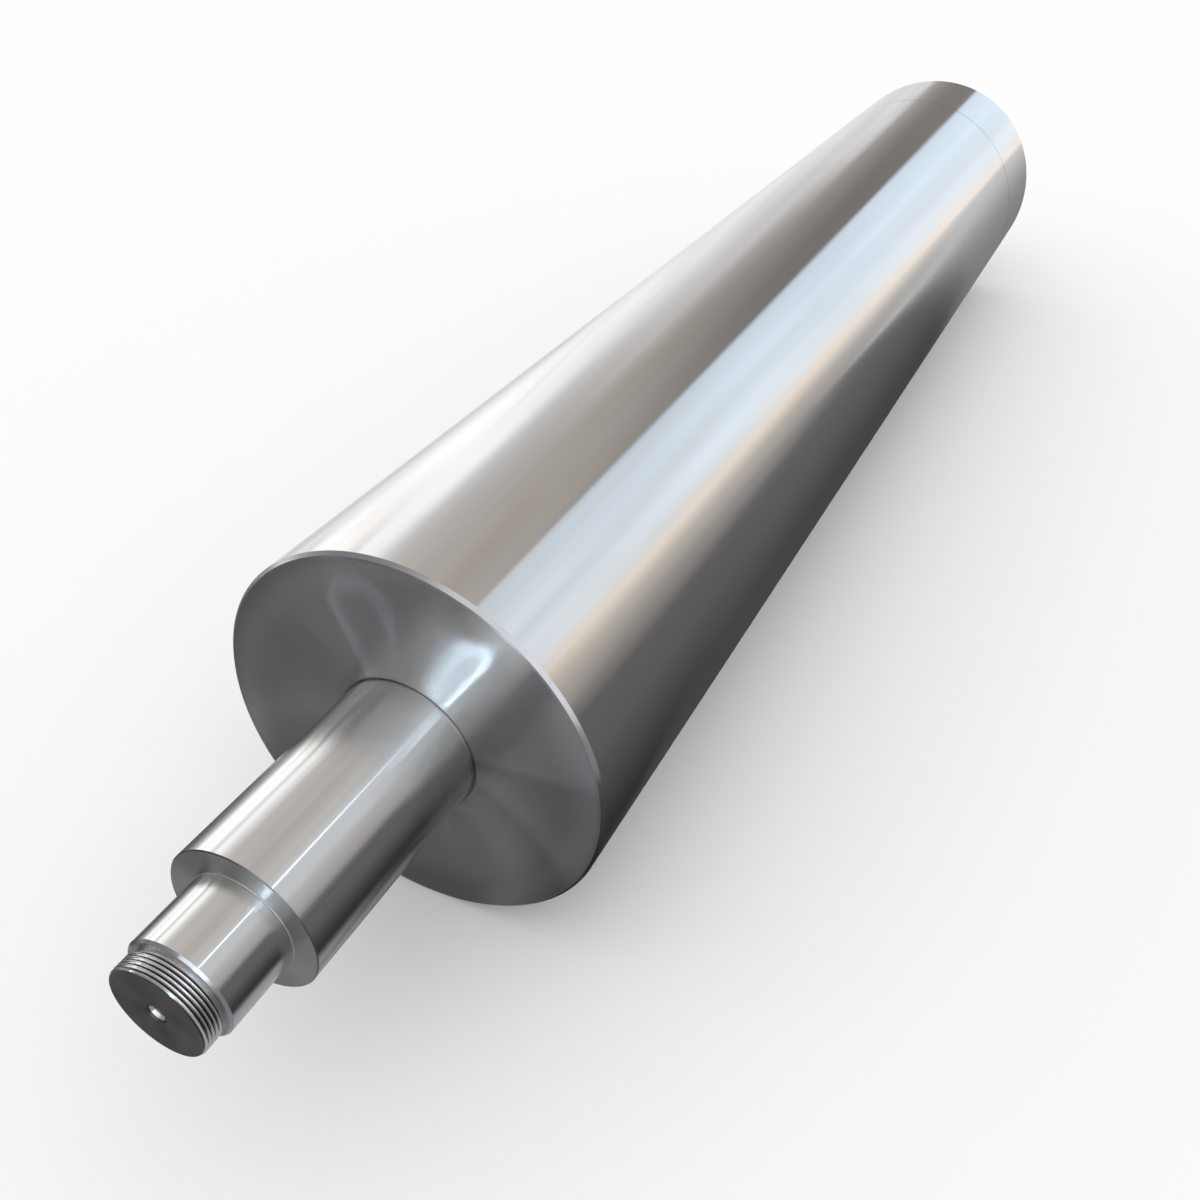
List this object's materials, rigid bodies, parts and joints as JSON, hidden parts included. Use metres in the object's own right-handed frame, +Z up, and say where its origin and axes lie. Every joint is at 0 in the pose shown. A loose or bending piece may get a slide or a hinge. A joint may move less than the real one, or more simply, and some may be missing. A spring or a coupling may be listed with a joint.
{
  "type": "chrome plated roller",
  "caption": "Polished steel machine roller with a cylindrical barrel, stepped shaft ends, ground bearing seats, short locknut threads and centre holes.",
  "frame": {"origin": "middle of the barrel, on the roller's axis", "axes": "+Y along the roller's axis, from the end that the picture shows towards the hidden end; +Z up with the roller lying level"},
  "size_m": [0.225, 1.4506, 0.2248],
  "materials": {
    "chromed_steel": "polished hard chrome, ground journals, turned end faces"
  },
  "bodies": {
    "root": {"roller": "chromed_steel"}
  },
  "joints": []
}
